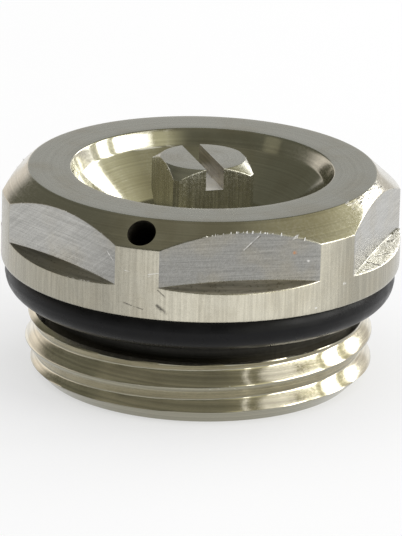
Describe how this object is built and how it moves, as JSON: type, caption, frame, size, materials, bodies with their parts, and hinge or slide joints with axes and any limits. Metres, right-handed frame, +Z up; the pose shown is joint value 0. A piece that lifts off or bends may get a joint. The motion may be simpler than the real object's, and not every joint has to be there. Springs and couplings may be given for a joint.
{
  "type": "radiator air vent",
  "caption": "Nickel-plated brass radiator air vent: hexagon head with a funnel top, slotted square bleed screw, slanted vent hole, O-ring under the collar and a pipe thread.",
  "frame": {"origin": "middle of the pipe thread's end, which the part stands on", "axes": "+Z up along the plug's axis, from the thread's end to the head; the vent hole looks towards -Y"},
  "size_m": [0.024, 0.024, 0.0133],
  "materials": {
    "plug_nickel": "nickel plated over turned brass, satin to bright",
    "screw_nickel": "nickel plated over turned brass, satin",
    "ring_rubber": "smooth black rubber with a soft sheen",
    "pad_rubber": "matt black rubber"
  },
  "bodies": {
    "plug": {"plug_body": "plug_nickel", "head_ring": "ring_rubber"},
    "pad": {"valve_pad": "pad_rubber"},
    "screw": {"bleed_screw": "screw_nickel"}
  },
  "joints": [
    {"name": "screw_lift", "type": "slide", "parent": "plug", "child": "pad", "axis": [0, 0, 1], "range_m": [0, 0.0015]},
    {"name": "screw_turn", "type": "hinge", "parent": "pad", "child": "screw", "pos_m": [0, 0, 0.009], "axis": [0, 0, 1], "range_deg": [0, 540]}
  ],
  "couplings": [
    {"joint": "screw_turn", "follows": "screw_lift", "rad_per_m": 6283.2}
  ]
}
